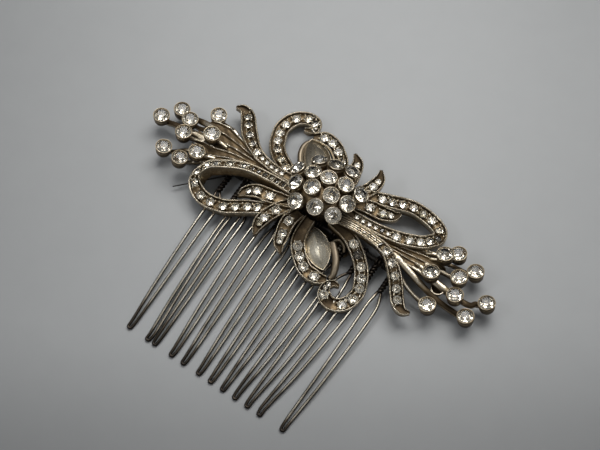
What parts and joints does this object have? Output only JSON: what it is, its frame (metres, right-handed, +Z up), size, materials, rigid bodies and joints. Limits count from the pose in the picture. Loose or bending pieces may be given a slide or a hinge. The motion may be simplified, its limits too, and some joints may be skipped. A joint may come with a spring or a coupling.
{
  "type": "decorative hair comb",
  "caption": "Wire hair comb with long twisted hairpin teeth and a domed cast metal ornament of stone-set ribbons, leaves, scrolls and flower sprays.",
  "frame": {"origin": "middle of the footprint, on the surface that the comb's back rests on", "axes": "+Z up out of the resting surface, +X along the comb spine, +Y from the tooth tips towards the ornament"},
  "size_m": [0.098, 0.0722, 0.0157],
  "materials": {
    "tooth_wire": "plated tooth wire, grey silver with darker tips",
    "dark_wire": "blackened wire and plate, nearly black",
    "cast_silver": "antique silver casting with warm brown tarnish in recesses and bright raised rims",
    "bright_silver": "polished plain bar, lightly worn",
    "clear_stone": "clear faceted foil-backed glass",
    "smoky_stone": "aged foil-backed pointed oval stone, grey gold"
  },
  "bodies": {
    "root": {"back_plate": "dark_wire", "comb_spine": "dark_wire", "tooth_01": "tooth_wire", "tooth_02": "tooth_wire", "tooth_03": "tooth_wire", "tooth_04": "tooth_wire", "tooth_05": "tooth_wire", "tooth_06": "tooth_wire", "tooth_07": "tooth_wire", "tooth_08": "tooth_wire", "tooth_09": "tooth_wire", "tooth_10": "tooth_wire", "tooth_11": "tooth_wire", "tooth_12": "tooth_wire", "binding_left": "dark_wire", "binding_right": "dark_wire", "center_post": "cast_silver", "cluster_plate": "cast_silver", "cluster_cups": "cast_silver", "cluster_stones": "clear_stone", "loop_right": "cast_silver", "loop_left": "cast_silver", "loop_stones_right": "clear_stone", "loop_stones_left": "clear_stone", "plume_right": "cast_silver", "plume_left": "cast_silver", "plume_stones_right": "clear_stone", "plume_stones_left": "clear_stone", "scroll_lower": "cast_silver", "scroll_upper": "cast_silver", "scroll_stones_lower": "clear_stone", "scroll_stones_upper": "clear_stone", "crescent_lower": "cast_silver", "crescent_upper": "cast_silver", "crescent_stones_lower": "clear_stone", "crescent_stones_upper": "clear_stone", "bar_lower": "bright_silver", "bar_upper": "bright_silver", "leaf_outer_lower": "cast_silver", "leaf_outer_upper": "cast_silver", "leaf_middle_lower": "cast_silver", "leaf_middle_upper": "cast_silver", "leaf_inner_right": "cast_silver", "leaf_inner_left": "cast_silver", "leaf_stones_lower": "clear_stone", "leaf_stones_upper": "clear_stone", "spray_fan_right": "cast_silver", "spray_fan_left": "cast_silver", "spray_cups_right": "cast_silver", "spray_cups_left": "cast_silver", "spray_stones_right": "clear_stone", "spray_stones_left": "clear_stone", "marquise_setting_lower": "cast_silver", "marquise_setting_upper": "cast_silver", "marquise_stone_lower": "smoky_stone", "marquise_stone_upper": "smoky_stone"}
  },
  "joints": []
}
